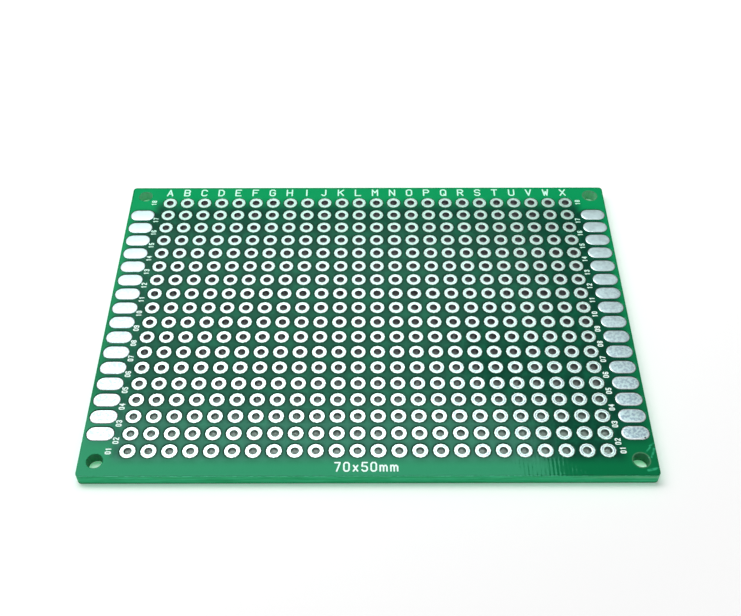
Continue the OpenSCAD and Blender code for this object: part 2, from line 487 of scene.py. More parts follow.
@dataclass
class DrilledSheet:
    """A sheet over the whole plan of the board, closed, with its holes open.

    With a face it is that face's coat: it is open round the edge pads too, and it turns down
    softly into its openings.
    """

    name: str
    grid: PlanGrid
    low: float
    high: float
    hole_r: float
    face: Face | None = None
    rim_width: float = 0.05 * MM
    rim_drop: float = 0.02 * MM
    sharp_degrees: float = 10.0
    draft: MeshDraft = field(init=False)

    def sleeve(self, outer: np.ndarray, hole: np.ndarray, centre: np.ndarray) -> np.ndarray:
        """Rings of a cell with one opening, from its upper outline through the hole to its lower.

        Args:
            outer: The cell's outline, counter-clockwise.
            hole: The opening's outline, point for point.
            centre: The opening's centre.

        Returns:
            Points of shape (rings, n, 3).
        """
        away = hole - centre
        spread = away / np.linalg.norm(away, axis=1, keepdims=True) * self.rim_width
        upper, lower = [lift(hole, self.high)], [lift(hole, self.low)]
        if self.face is Face.TOP:
            upper = [lift(hole + spread, self.high), lift(hole, self.high - self.rim_drop)]
        if self.face is Face.BOTTOM:
            lower = [lift(hole, self.low + self.rim_drop), lift(hole + spread, self.low)]
        return np.stack([lift(outer, self.high), *upper, *lower, lift(outer, self.low)])

    def add_hole_cells(self) -> None:
        """Puts one cell with a round hole at every point of the grid."""
        outer = self.grid.hole_cell()
        rings = self.sleeve(outer, radial_outline(outer, self.hole_r), np.zeros(2))
        places = plan(*np.meshgrid(self.grid.column_x, self.grid.row_y)).reshape(-1, 2)
        self.draft.add_rings(copies_at(places, rings))

    def add_pad_cells(self) -> None:
        """Puts a cell beside every row that has edge pads, on both short sides."""
        sizes, outer = self.grid.sizes, self.grid.pad_cell()
        places = plan(0.0, self.grid.pad_row_y)
        if self.face is None:
            for height, reverse in ((self.high, False), (self.low, True)):
                caps = copies_at(places, lift(outer, height)[None])[:, 0]
                self.draft.add_caps(caps, reverse)
                self.draft.add_caps(caps * [-1, 1, 1], not reverse)
            return
        centre = np.array([sizes.pad_middle, 0.0])
        opening_r = sizes.pad_r + sizes.mask_gap
        hole = radial_outline(outer - centre, opening_r, sizes.pad_straight) + centre
        rings = copies_at(places, self.sleeve(outer, hole, centre))
        self.draft.add_rings(rings)
        self.draft.add_rings((rings * [-1, 1, 1])[:, :, ::-1])

    def add_corner_cells(self) -> None:
        """Puts the four corner cells with their mounting holes."""
        sizes = self.grid.sizes
        centre = np.array([sizes.mounting_x, sizes.mounting_y])
        for edge, side in zip(sizes.long_edges, (1, -1), strict=True):
            outer = self.grid.corner_cell(edge)
            hole = radial_outline(outer - centre, sizes.mounting_r) + centre
            rings = self.sleeve(outer, hole, centre)[None]
            self.draft.add_rings((rings * [1, side, 1])[:, :, ::side])
            self.draft.add_rings((rings * [-1, side, 1])[:, :, ::-side])

    def add_strips(self) -> None:
        """Puts the plain strips between the outer rows and the long edges."""
        for edge, side in zip(self.grid.sizes.long_edges, (1, -1), strict=True):
            levels = side * self.grid.strip_levels(edge)
            strip = plan(*np.meshgrid(self.grid.long_line, levels))
            for height, order in ((self.high, side), (self.low, -side)):
                self.draft.add_rings(lift(strip, height)[None, ::order], closed=False)

    def add_outer_wall(self) -> None:
        """Closes the sheet round its outline."""
        outline = self.grid.perimeter()
        self.draft.add_rings(np.stack([lift(outline, self.low), lift(outline, self.high)])[None])

    def build(self) -> Piece:
        """Makes the sheet from its cells, strips and outer wall.

        Returns:
            The sheet's object.
        """
        self.draft = MeshDraft(self.grid.sizes.grid_shift)
        self.add_hole_cells()
        self.add_pad_cells()
        self.add_corner_cells()
        self.add_strips()
        self.add_outer_wall()
        return self.draft.build(self.name, self.sharp_degrees)


@dataclass
class PlatedRow:
    """One row of plated holes: a barrel with a crowned land on each face."""

    row: int
    grid: PlanGrid
    segments: int = 12
    shoulder: float = 0.05 * MM
    crown: float = 0.01 * MM
    crown_inset: float = 0.28 * MM
    lip: float = 0.01 * MM
    sharp_degrees: float = 30.0

    def profile(self) -> np.ndarray:
        """Section of an eyelet, as radius and height.

        It starts at the upper land's foot and runs inwards over its shoulder and crown, down the
        bore, outwards under the lower land and back up along the outside of the barrel.

        Returns:
            Points of shape (n, 2).
        """
        s = self.grid.sizes
        barrel = s.hole_r + s.plating_t
        return np.array([
            [s.land_r, s.laminate_high],
            [s.land_r - self.shoulder, s.top],
            [s.land_r - self.crown_inset, s.top + self.crown],
            [s.hole_r, s.top - self.lip],
            [s.hole_r, 0.0],
            [s.land_r, 0.0],
            [barrel, s.laminate_low],
            [barrel, s.laminate_high],
        ])

    def build(self) -> Piece:
        """Makes the row by turning the section round each hole's axis.

        Each ring is (radius * cos a, radius * sin a, height) for equal steps of the angle a.

        Returns:
            The row's object.
        """
        radius, height = self.profile().T
        angles = np.arange(self.segments) * 2 * math.pi / self.segments
        circle = plan(np.cos(angles), np.sin(angles))
        rings = lift(radius[:, None, None] * circle, height[:, None])
        places = plan(self.grid.column_x, self.grid.row_y[self.row - 1])
        draft = MeshDraft(self.grid.sizes.grid_shift)
        draft.add_rings(copies_at(places, rings), looped=True)
        return draft.build(f"plated_row_{self.row:02d}", self.sharp_degrees)


@dataclass
class EdgePads:
    """The tinned pads beside the rows, on one short side and one face."""

    side_name: str
    face: Face
    grid: PlanGrid
    end_steps: int = 10
    crown: float = 0.012 * MM
    shoulder: float = 0.1 * MM
    crown_inset: float = 0.45 * MM
    sharp_degrees: float = 20.0

    def outline(self, inset: float) -> np.ndarray:
        """A pad's outline round its centre: two half circles, joined by the straight sides.

        Args:
            inset: How far the outline is taken in.

        Returns:
            Points of shape (n, 2), counter-clockwise.
        """
        radius = self.grid.sizes.pad_r - inset
        turn = np.linspace(-math.pi / 2, math.pi / 2, self.end_steps + 1)
        end = plan(self.grid.sizes.pad_straight + radius * np.cos(turn), radius * np.sin(turn))
        return np.concatenate([end, -end])

    def build(self) -> Piece:
        """Makes the pads: foot, shoulder and crown rings under a flat cap.

        Returns:
            The pads' object.
        """
        s = self.grid.sizes
        if self.face is Face.TOP:
            heights = (s.laminate_high, s.top, s.top + self.crown)
            levels = zip((0.0, self.shoulder, self.crown_inset), heights, strict=True)
        else:
            heights = (0.0, self.crown, s.laminate_low)
            levels = zip((self.crown_inset, self.shoulder, 0.0), heights, strict=True)
        rings = np.stack([lift(self.outline(inset), height) for inset, height in levels])
        x = -s.pad_middle if self.side_name == "left" else s.pad_middle
        copies = copies_at(plan(x, self.grid.pad_row_y), rings)
        draft = MeshDraft(s.grid_shift)
        draft.add_rings(copies)
        draft.add_caps(copies[:, -1])
        draft.add_caps(copies[:, 0], reverse=True)
        name = f"tin_pads_{self.side_name}_{self.face.name.lower()}"
        return draft.build(name, self.sharp_degrees)


@dataclass(frozen=True)
class Signal:
    """An output in a node graph, with arithmetic that adds the nodes for it."""

    graph: "NodeGraph"
    socket: bpy.types.NodeSocket

    def __add__(self, other: "Signal | float") -> "Signal":
        """The sum of two values."""
        return self.graph.math("ADD", self, other)

    def __sub__(self, other: "Signal | float") -> "Signal":
        """The value less another one."""
        return self.graph.math("SUBTRACT", self, other)

    def __rsub__(self, other: float) -> "Signal":
        """A number less the value."""
        return self.graph.math("SUBTRACT", other, self)

    def __mul__(self, other: "Signal | float") -> "Signal":
        """The product of two values."""
        return self.graph.math("MULTIPLY", self, other)

    def __abs__(self) -> "Signal":
        """The value without its sign."""
        return self.graph.math("ABSOLUTE", self)

    def wrapped(self, length: float) -> "Signal":
        """The value brought into one length about 0, by whole lengths."""
        return self.graph.math("WRAP", self, length / 2, -length / 2)

    def ramp(self, low: float, high: float, to_low: float = 0.0, to_high: float = 1.0) -> "Signal":
        """Smooth step of the value: 3 t^2 - 2 t^3, where t is its way from low to high.

        Args:
            low: Where the step starts.
            high: Where the step ends.
            to_low: What the step gives up to its start.
            to_high: What the step gives from its end.

        Returns:
            The number between to_low and to_high.
        """
        inputs = {"Value": self, "From Min": low, "From Max": high,
                  "To Min": to_low, "To Max": to_high}
        return self.graph.value("MapRange", inputs, interpolation_type="SMOOTHSTEP")

    def part_ramp(self, whole: float, low: float, high: float, *levels: float) -> "Signal":
        """Smooth step of the value between two parts of a whole size."""
        return self.ramp(low * whole, high * whole, *levels)

    def mix(self, first: "Signal | Color", second: "Signal | Color") -> "Signal":
        """Mix of two colours by the value, through the colour sockets of a Mix node."""
        return self.graph.value("Mix", {0: self, 6: first, 7: second}, 2, data_type="RGBA")


@dataclass
class NodeGraph:
    """The node tree of a material or world, with short ways to add its nodes."""

    owner: Material | bpy.types.World
    coordinates: str = "Object"
    tree: bpy.types.NodeTree = field(init=False)
    place: Signal = field(init=False)

    def __post_init__(self) -> None:
        """Starts an empty tree that reads the coordinates."""
        self.owner.use_nodes = True
        self.tree = self.owner.node_tree
        self.tree.nodes.clear()
        self.place = self.value("TexCoord", {}, self.coordinates)

    @classmethod
    def of_material(cls, name: str) -> "NodeGraph":
        """Starts the tree of a new material."""
        return cls(bpy.data.materials.new(name))

    def node(self, kind: str, inputs: dict[str | int, object],
             **settings: object) -> bpy.types.Node:
        """Adds a node, sets its properties and links or sets its inputs.

        Args:
            kind: The node's type name, without its ShaderNode prefix.
            inputs: Signals or plain values, by input name or index. A colour gets full opacity.
            **settings: Properties of the node.

        Returns:
            The new node.
        """
        node = self.tree.nodes.new(f"ShaderNode{kind}")
        for key, value in settings.items():
            setattr(node, key, value)
        for key, value in inputs.items():
            socket = node.inputs[key]
            if isinstance(value, Signal):
                self.tree.links.new(value.socket, socket)
            else:
                socket.default_value = (*value, 1.0) if socket.type == "RGBA" else value
        return node

    def value(self, kind: str, inputs: dict[str | int, object], output: str | int = 0,
              **settings: object) -> Signal:
        """One output of a new node that is given as in `node`."""
        return Signal(self, self.node(kind, inputs, **settings).outputs[output])

    def math(self, operation: str, *values: Signal | float) -> Signal:
        """Result of a Math node over signals or numbers."""
        return self.value("Math", dict(enumerate(values)), operation=operation)

    def vector(self, operation: str, *values: object, output: str = "Value") -> Signal:
        """Result of a Vector Math node over signals or vectors."""
        return self.value("VectorMath", dict(enumerate(values)), output, operation=operation)

    def length(self, *axes: Signal) -> Signal:
        """Length of the vector that the axes make."""
        return self.vector("LENGTH", self.value("CombineXYZ", dict(enumerate(axes))))

    def axes(self, vector: Signal | None = None) -> tuple[Signal, ...]:
        """X, Y and Z of a vector, or else of the coordinates."""
        outputs = self.node("SeparateXYZ", {0: vector or self.place}).outputs
        return tuple(Signal(self, output) for output in outputs)

    def noise(self, scale: float, detail: float = 2.0,
              stretch: tuple[float, float, float] | None = None) -> Signal:
        """Smooth noise about 0.5.

        Args:
            scale: Waves in a metre.
            detail: How many layers of finer waves lie on top.
            stretch: Factor on the waves along each axis.

        Returns:
            The noise.
        """
        vector = self.place
        if stretch:
            vector = self.value("Mapping", {"Vector": vector, "Scale": stretch})
        inputs = {"Vector": vector, "Scale": scale, "Detail": detail}
        return self.value("TexNoise", inputs, "Fac")

    def bump(self, height: Signal, distance: float, **below: Signal) -> Signal:
        """Normal of a bump whose height of 1 stands `distance` proud, over the Normal below."""
        return self.value("Bump", {"Height": height, "Distance": distance, **below})

    def close(self, surface: Signal) -> None:
        """Links a surface to the tree's output."""
        target = "World" if isinstance(self.owner, bpy.types.World) else "Material"
        self.node(f"Output{target}", {"Surface": surface})

    def principled(self, inputs: dict[str, object]) -> Material:
        """Closes the material with a Principled shader and gives it back."""
        self.close(self.value("BsdfPrincipled", inputs))
        return self.owner


def radius_from_hole(graph: NodeGraph, sizes: BoardSizes) -> Signal:
    """Distance from the axis of the nearest hole, by wrapping X and Y into one cell.

    Args:
        graph: The tree that the nodes go in.
        sizes: The board's sizes.

    Returns:
        The distance.
    """
    x, y, _ = graph.axes()
    first_x, first_y = ((count - 1) / 2 % 1 * sizes.pitch for count in (sizes.columns, sizes.rows))
    return graph.length((x - first_x).wrapped(sizes.pitch),
                        (y - (sizes.grid_shift + first_y)).wrapped(sizes.pitch))


def edge_distance(graph: NodeGraph, sizes: BoardSizes) -> Signal:
    """Distance from the nearest edge of the board, in plan."""
    x, y, _ = graph.axes()
    return graph.math("MINIMUM", sizes.width / 2 - abs(x), sizes.depth / 2 - abs(y))


@dataclass(frozen=True)
class Scuff:
    """A pale scratch in the coat, from one plan point to another, in millimetres."""

    start: tuple[float, float]
    end: tuple[float, float]
    width: float


@dataclass(frozen=True)
class CoatFinish:
    """Green lacquer over woven glass: darker among the lands, with painted shade, paler in its
    margin and at its rim, with painted light, lightly scuffed.

    The field is the coat among the lands, with painted shade that darkens its tone round each of
    them. The margin is the plain coat round the field, painted lighter towards the far edge, and
    the strip is its part before row 01.
    """

    sizes: BoardSizes
    # The field's colours are painted darker than the margin's: painted shade where the lands block
    # the light that soaks through the coat. field_light is a paler random patch.
    field_color: Color = (0.0005, 0.052, 0.026)
    field_light: Color = (0.002, 0.090, 0.043)
    # Painted shade in the coat round each land.
    shade_round_lands_color: Color = (0.0005, 0.012, 0.007)
    # The margin's colours are painted lighter, as light soaking in at the board's edges. They run
    # from margin_color at the near side to a painted lit colour at the far side.
    margin_color: Color = (0.0005, 0.145, 0.047)
    margin_far_lit: Color = (0.0005, 0.28, 0.088)
    field_sheen: Color = (0.27, 0.96, 0.68)
    margin_sheen: Color = (0.19, 1.0, 0.63)
    # Painted shade, in a broken line just inside the coat's edge.
    rim_shade: Color = (0.003, 0.07, 0.028)
    # Pale broken fibres at the arris, partly a painted highlight where the arris catches the light.
    rim_pale: Color = (0.06, 0.38, 0.21)
    hole_rim_color: Color = (0.09, 0.22, 0.12)
    scuff_color: Color = (0.04, 0.46, 0.23)
    soft_edge: float = 0.9 * MM
    field_past_grid: tuple[float, float] = (1.9 * MM, 1.2 * MM)
    far_fade: Band = (-1.6 * MM, 1.9 * MM, 1.0, 0.0)
    beside_past_pads: float = 1.1 * MM
    patch_noise: Noise = (420.0, 3.0)
    patches: Band = (0.42, 0.68)
    # Where the painted shade round each land fades, by distance from the land, and how strong it
    # is.
    shade_round_lands: Band = (0.02 * MM, 0.55 * MM, 0.38, 0.0)
    dash_noise: Noise = (1500.0, 2.0, (1.0, 1.0, 0.0))
    # Bands of the painted shade line inside the edge, then of the pale line at the arris.
    dark_line_start: Band = (0.05 * MM, 0.10 * MM)
    dark_line_end: Band = (0.14 * MM, 0.24 * MM, 1.0, 0.0)
    dark_dashes: Band = (0.40, 0.55, 0.15, 0.7)
    pale_line: Band = (0.02 * MM, 0.08 * MM, 1.0, 0.0)
    pale_dashes: Band = (0.48, 0.62, 0.1, 0.65)
    hole_rim: Band = (0.06 * MM, 0.2 * MM, 0.75, 0.0)
    scuff_core: float = 0.1  # in parts of the scuff's width
    scuff_dashes: Band = (0.35, 0.6, 0.1, 0.75)
    strip_depth: float = 1.4 * MM
    strip_weave: float = 0.25
    strip_roughness: float = 0.6
    gloss: Band = (0.35, 1.0, 0.5, 0.22)
    roughness_noise: Noise = (260.0, 3.0)
    roughness: Band = (0.3, 0.7, 0.09, 0.15)
    weave_pitch: float = 0.5 * MM
    cross_threads: float = 0.5
    weave_noise: Noise = (500.0,)
    weave_patches: Band = (0.35, 0.65)
    weave_bump: float = 0.0018 * MM
    ripple_noise: Noise = (900.0,)
    ripple_bump: float = 0.0035 * MM
    scuffs: tuple[Scuff, ...] = (
        Scuff((33.67, -21.72), (34.33, -21.0), 0.16),
        Scuff((34.33, -22.4), (34.78, -21.2), 0.20),
        Scuff((33.6, -24.25), (34.7, -24.0), 0.26),
        Scuff((34.3, -20.8), (34.9, -20.4), 0.16),
    )

    def inside(self, graph: NodeGraph, half_x: float, half_y: float) -> Signal:
        """Weight that is 1 inside a centred rectangle and falls to 0 across its soft edge.

        Args:
            graph: The tree that the nodes go in.
            half_x: Half the rectangle's width.
            half_y: Half the rectangle's depth.

        Returns:
            The weight.
        """
        x, y, _ = graph.axes()
        soft = self.soft_edge
        return (abs(x).ramp(half_x - soft, half_x + soft, 1.0, 0.0)
                * abs(y).ramp(half_y - soft, half_y + soft, 1.0, 0.0))

    def field_weight(self, graph: NodeGraph, y: Signal) -> Signal:
        """Weight in the field, which fades softly at its far side.

        Args:
            graph: The tree that the nodes go in.
            y: Y of the coordinates.

        Returns:
            The weight.
        """
        past_x, past_y = self.field_past_grid
        box = self.inside(graph, self.sizes.grid_x + past_x, self.sizes.grid_y + past_y)
        return box * (y - self.sizes.grid_y).ramp(*self.far_fade)

    def worn_rim(self, graph: NodeGraph) -> Signal:
        """Weight round the right mounting holes, where the drill has worn the lacquer thin.

        Args:
            graph: The tree that the nodes go in.

        Returns:
            The weight.
        """
        s = self.sizes
        x, y, _ = graph.axes()
        radius = graph.length(x - s.mounting_x, abs(y - s.grid_shift) - s.mounting_y)
        return (radius - s.mounting_r).ramp(*self.hole_rim)

    def scuff_weight(self, graph: NodeGraph, scuff: Scuff) -> Signal:
        """Weight near the line of a scuff.

        With p the place, a the start and d the way to the end, the nearest point is a + t d, where
        t is (p - a).d / d.d, held between 0 and 1.

        Args:
            graph: The tree that the nodes go in.
            scuff: The scuff.

        Returns:
            The weight.
        """
        start = Vector((scuff.start[0] * MM, scuff.start[1] * MM, self.sizes.top))
        way = Vector((scuff.end[0] * MM, scuff.end[1] * MM, self.sizes.top)) - start
        offset = graph.vector("SUBTRACT", graph.place, start, output="Vector")
        along = graph.vector("DOT_PRODUCT", offset, way / way.length_squared)
        held = graph.value("Clamp", {"Value": along})
        nearest = graph.value("VectorMath", {0: way, "Scale": held}, operation="SCALE")
        gap = graph.vector("DISTANCE", offset, nearest)
        return gap.part_ramp(scuff.width * MM, self.scuff_core, 1.0, 1.0, 0.0)

    def weave(self, graph: NodeGraph) -> Signal:
        """Glass weave under the lacquer: sin(2 pi x / p) and sin(2 pi y / p), patchy by noise.

        Args:
            graph: The tree that the nodes go in.

        Returns:
            The height, as a part of the weave's bump.
        """
        turns = 2 * math.pi / self.weave_pitch
        across, along = (graph.math("SINE", axis * turns) for axis in graph.axes()[:2])
        threads = across + along * self.cross_threads
        return threads * graph.noise(*self.weave_noise).ramp(*self.weave_patches)

    def with_rims(self, graph: NodeGraph, color: Signal) -> Signal:
        """Draws the broken lines at the board's edge: a line of painted shade and a pale line of
        broken fibres with a painted highlight. Then it draws the worn rims and the scuffs.

        Args:
            graph: The tree that the nodes go in.
            color: The lacquer's colour, with its painted light and shade.

        Returns:
            The colour with the lines and scuffs.
        """
        distance = edge_distance(graph, self.sizes)
        dashes = graph.noise(*self.dash_noise)
        # Painted shade line just inside the edge. The pale line at the arris is broken fibres with
        # a painted highlight.
        dark = (distance.ramp(*self.dark_line_start) * distance.ramp(*self.dark_line_end)
                * dashes.ramp(*self.dark_dashes))
        pale = distance.ramp(*self.pale_line) * dashes.ramp(*self.pale_dashes)
        color = pale.mix(dark.mix(color, self.rim_shade), self.rim_pale)
        color = self.worn_rim(graph).mix(color, self.hole_rim_color)
        worn = dashes.ramp(*self.scuff_dashes)
        for scuff in self.scuffs:
            color = (self.scuff_weight(graph, scuff) * worn).mix(color, self.scuff_color)
        return color

    def build(self) -> Material:
        """Makes the lacquer's material.

        Returns:
            The new material.
        """
        graph, s = NodeGraph.of_material("green_lacquer"), self.sizes
        y = graph.axes()[1]
        among = self.field_weight(graph, y)
        beside = self.inside(graph, s.pad_outer - self.soft_edge / 2,
                             s.pads_y + self.beside_past_pads)
        patches = graph.noise(*self.patch_noise).ramp(*self.patches)
        # Painted shade round each land, in the field only. It also lowers the gloss there.
        shade_round_lands = (radius_from_hole(graph, s) - s.land_r).ramp(*self.shade_round_lands) * among
        inner = shade_round_lands.mix(patches.mix(self.field_color, self.field_light), self.shade_round_lands_color)
        # Painted light: the margin grows lighter towards the far edge.
        margin = y.ramp(-s.grid_y, s.grid_y).mix(self.margin_color, self.margin_far_lit)
        # The field and the pads' rows take the painted shade, and the rest takes the margin's
        # painted light.
        color = graph.math("MAXIMUM", among, beside).mix(margin, inner)
        strip = (-s.grid_y - self.strip_depth, -s.grid_y)
        weave = self.weave(graph) * y.ramp(*strip, 1.0, self.strip_weave)
        wave = graph.bump(weave, self.weave_bump)
        ripple = graph.noise(*self.ripple_noise)
        roughness = graph.noise(*self.roughness_noise).ramp(*self.roughness)
        return graph.principled({
            "Base Color": self.with_rims(graph, color),
            "Roughness": roughness * y.ramp(*strip, self.strip_roughness, 1.0),
            "Specular IOR Level": y.part_ramp(s.grid_y, *self.gloss) * (1.0 - shade_round_lands),
            "Specular Tint": among.mix(self.margin_sheen, self.field_sheen),
            "Normal": graph.bump(ripple, self.ripple_bump, Normal=wave),
        })


@dataclass(frozen=True)
class LaminateFinish:
    """Cut glass-epoxy: layers along the edge, and painted shade towards the foot of the edge, on
    its flat faces and on the walls of the holes, where it is painted lighter in the far holes.

    Light that soaks through the sheet leaves its cut edge green, so what the floor gets from there
    is stronger than the edge's own colour.
    """

    sizes: BoardSizes
    edge_color: Color = (0.004, 0.37, 0.13)
    streak_color: Color = (0.025, 0.47, 0.205)
    # Dark fibre streaks, and painted shade towards the foot of the edge.
    streak_and_foot_shade_color: Color = (0.004, 0.22, 0.08)
    # Painted shade on the walls of the holes, painted lighter in the far holes.
    wall_shade_color: Color = (0.024, 0.145, 0.075)
    far_wall_lit_color: Color = (0.17, 0.43, 0.27)
    bleed_color: Color = (0.02, 0.95, 0.45)
    tan_color: Color = (0.22, 0.42, 0.24)
    # Painted shade on the flat faces, which shows in the gaps round the lands.
    face_shade_color: Color = (0.012, 0.03, 0.014)
    layer_noise: Noise = (300.0, 4.0, (0.6, 0.6, 18.0))
    fibre_noise: Noise = (900.0, 3.0, (0.5, 0.5, 7.0))
    layers: Band = (0.35, 0.65)
    streaks: Band = (0.5, 0.75, 0.0, 0.5)
    tan_along: Band = (0.33, 0.42)  # in parts of the width
    tan_height: Band = (0.55, 0.8, 0.0, 0.5)  # in parts of the height
    tan_layers: Band = (0.4, 0.6)
    # How the painted shade at the foot of the edge fades upwards.
    foot: Band = (0.1 * MM, 0.5 * MM, 0.8, 0.0)
    wall_depth: Band = (0.3 * MM, 0.6 * MM)
    flat_part: Band = (0.5, 0.9)
    roughness: Band = (0.3, 0.7, 0.5, 0.75)
    gloss: float = 0.25
    fibre_bump: float = 0.02 * MM

    def build(self) -> Material:
        """Makes the laminate's material.

        Returns:
            The new material.
        """
        graph, s = NodeGraph.of_material("glass_epoxy"), self.sizes
        x, y, z = graph.axes()
        layers, fibres = graph.noise(*self.layer_noise), graph.noise(*self.fibre_noise)
        color = layers.ramp(*self.layers).mix(self.edge_color, self.streak_color)
        color = fibres.ramp(*self.streaks).mix(color, self.streak_and_foot_shade_color)
        tan = (x.part_ramp(s.width, *self.tan_along) * z.part_ramp(s.top, *self.tan_height)
               * layers.ramp(*self.tan_layers))
        color = tan.mix(color, self.tan_color)
        # Painted shade towards the foot of the edge, where it meets the floor.
        color = z.ramp(*self.foot).mix(color, self.streak_and_foot_shade_color)
        # Painted shade on the walls of the holes, lighter in the far ones.
        wall = y.ramp(0.0, s.mounting_y).mix(self.wall_shade_color, self.far_wall_lit_color)
        color = edge_distance(graph, s).ramp(*self.wall_depth).mix(color, wall)
        up = graph.axes(graph.value("NewGeometry", {}, "True Normal"))[2]
        # Painted shade on the flat faces, seen in the gaps round the lands.
        color = abs(up).ramp(*self.flat_part).mix(color, self.face_shade_color)
        lights_floor = graph.value("LightPath", {}, "Is Diffuse Ray")
        return graph.principled({
            "Base Color": lights_floor.mix(color, self.bleed_color),
            "Roughness": fibres.ramp(*self.roughness),
            "Specular IOR Level": self.gloss,
            "Normal": graph.bump(fibres, self.fibre_bump),
        })


@dataclass(frozen=True)
class TinFinish:
    """Hot-air levelled tin: bright and finely grained, with rings of painted dark reflection on the
    lands. The edge pads are painted lighter far away and have a painted highlight on their rims. It
    also has a dark fleck.
    """

    sizes: BoardSizes
    land_color: Color = (0.68, 0.93, 0.85)
    far_land_color: Color = (0.57, 0.90, 0.76)
    # Dull grain, and the rings of painted dark reflection on the lands.
    land_dull_and_reflection: Color = (0.26, 0.28, 0.38)
    pad_color: Color = (0.53, 0.70, 0.71)
    pad_dull: Color = (0.30, 0.42, 0.49)
    # Painted light: the pads are lighter towards the far rows.
    far_pad_lit_color: Color = (0.65, 0.84, 0.85)
    # Painted highlight along the pads' outline, most in the near rows.
    pad_rim_highlight_color: Color = (0.94, 0.98, 0.98)
    bore_color: Color = (0.28, 0.28, 0.29)
    bore_foot_color: Color = (0.38, 0.40, 0.40)
    near_bore_color: Color = (0.16, 0.21, 0.19)
    near_bore_foot_color: Color = (0.90, 1.0, 0.96)
    fleck_color: Color = (0.03, 0.035, 0.03)
    fleck_place: tuple[float, float] = (34.0 * MM, -19.6 * MM)
    fleck: Band = (0.14 * MM, 0.20 * MM, 1.0, 0.0)
    fringe_noise: Noise = (12000.0,)
    fleck_fringe: float = 0.1 * MM
    far_land: Band = (0.3, 1.05)
    far_pad: Band = (-1.0, 1.0, 0.0, 0.95)
    near_bore: Band = (-1.0, -0.1, 1.0, 0.0)
    bore_foot: Band = (0.4, 0.85, 1.0, 0.0)
    bore: Band = (0.0, 0.07 * MM, 1.0, 0.0)
    past_lands: Band = (0.0, 0.1 * MM, 1.0, 0.0)
    grain_noise: Noise = (9000.0,)
    blotch_noise: Noise = (2200.0, 3.0)
    mottle_noise: Noise = (3000.0, 3.0)
    land_grain: Band = (0.45, 0.75, 0.0, 0.48)
    pad_mottle: Band = (0.42, 0.6)
    # Where the pads' painted highlight lies, and how it fades towards the far rows.
    pad_rim: Band = (-0.28 * MM, -0.14 * MM)
    pad_rim_along: Band = (-1.0, 0.0, 0.6, 0.1)
    # Rings of painted dark reflection on the lands, most in the near rows.
    ring_radius: float = 0.74 * MM
    ring: Band = (0.02 * MM, 0.09 * MM, 1.0, 0.0)
    ring_along: Band = (-0.6, 0.0, 1.0, 0.3)
    ring_patches: Band = (0.35, 0.55)
    roughness: Band = (0.35, 0.65, 0.34, 0.44)
    grain_share: float = 0.5
    grain_bump: float = 0.010 * MM

    def at_pad_rim(self, graph: NodeGraph) -> Signal:
        """Weight at a pad's outline, by the distance from its middle line, Y wrapped in a cell.

        Args:
            graph: The tree that the nodes go in.

        Returns:
            The weight.
        """
        s = self.sizes
        x, y, _ = graph.axes()
        past = graph.math("MAXIMUM", abs(abs(x) - s.pad_middle) - s.pad_straight, 0.0)
        ahead = (y - (s.grid_shift + s.pitch / 2)).wrapped(s.pitch)
        return (graph.length(past, ahead) - s.pad_r).ramp(*self.pad_rim)

    def bore_wall(self, graph: NodeGraph) -> Signal:
        """Colour down a bore: paler where the floor lights it, most in the near rows.

        Args:
            graph: The tree that the nodes go in.

        Returns:
            The colour.
        """
        _, y, z = graph.axes()
        near = y.part_ramp(self.sizes.grid_y, *self.near_bore)
        upper = near.mix(self.bore_color, self.near_bore_color)
        lower = near.mix(self.bore_foot_color, self.near_bore_foot_color)
        return z.part_ramp(self.sizes.top, *self.bore_foot).mix(upper, lower)

    def land(self, y: Signal, grain: Signal) -> Signal:
        """Colour of the lands, greener in the far rows and dulled by the grain.

        Args:
            y: Y of the coordinates.
            grain: The tin's fine noise.

        Returns:
            The colour.
        """
        far = y.part_ramp(self.sizes.grid_y, *self.far_land)
        color = far.mix(self.land_color, self.far_land_color)
        return grain.ramp(*self.land_grain).mix(color, self.land_dull_and_reflection)

    def pad(self, graph: NodeGraph, y: Signal) -> Signal:
        """Colour of the edge pads: mottled near the camera, even and painted lighter far away, with
        a painted highlight on the rim.

        Args:
            graph: The tree that the nodes go in.
            y: Y of the coordinates.

        Returns:
            The colour.
        """
        grid_y = self.sizes.grid_y
        mottle = graph.noise(*self.mottle_noise).ramp(*self.pad_mottle)
        color = mottle.mix(self.pad_color, self.pad_dull)
        # Painted light, lighter towards the far rows.
        color = y.part_ramp(grid_y, *self.far_pad).mix(color, self.far_pad_lit_color)
        # Painted highlight along the pads' outline.
        bright = self.at_pad_rim(graph) * y.part_ramp(grid_y, *self.pad_rim_along)
        return bright.mix(color, self.pad_rim_highlight_color)

    def build(self) -> Material:
        """Makes the tin's material.

        Returns:
            The new material.
        """
        graph, s = NodeGraph.of_material("levelled_tin"), self.sizes
        x, y, _ = graph.axes()
        radius = radius_from_hole(graph, s)
        on_row = (abs(x) - (s.grid_x + s.land_r)).ramp(*self.past_lands)
        grain, blotch = graph.noise(*self.grain_noise), graph.noise(*self.blotch_noise)
        color = on_row.mix(self.pad(graph, y), self.land(y, grain))
        # Rings of painted dark reflection on the near lands.
        ring = (abs(radius - self.ring_radius).ramp(*self.ring) * on_row
                * y.part_ramp(s.grid_y, *self.ring_along) * blotch.ramp(*self.ring_patches))
        color = ring.mix(color, self.land_dull_and_reflection)
        bore = (radius - s.hole_r).ramp(*self.bore) * on_row
        color = bore.mix(color, self.bore_wall(graph))
        gap = graph.vector("DISTANCE", graph.place, (*self.fleck_place, s.top))
        fringe = graph.noise(*self.fringe_noise) * self.fleck_fringe
        dark = (gap + fringe).ramp(*self.fleck)
        return graph.principled({
            "Base Color": dark.mix(color, self.fleck_color),
            "Metallic": 1.0,
            "Roughness": blotch.ramp(*self.roughness),
            "Normal": graph.bump(grain * self.grain_share + blotch, self.grain_bump),
        })


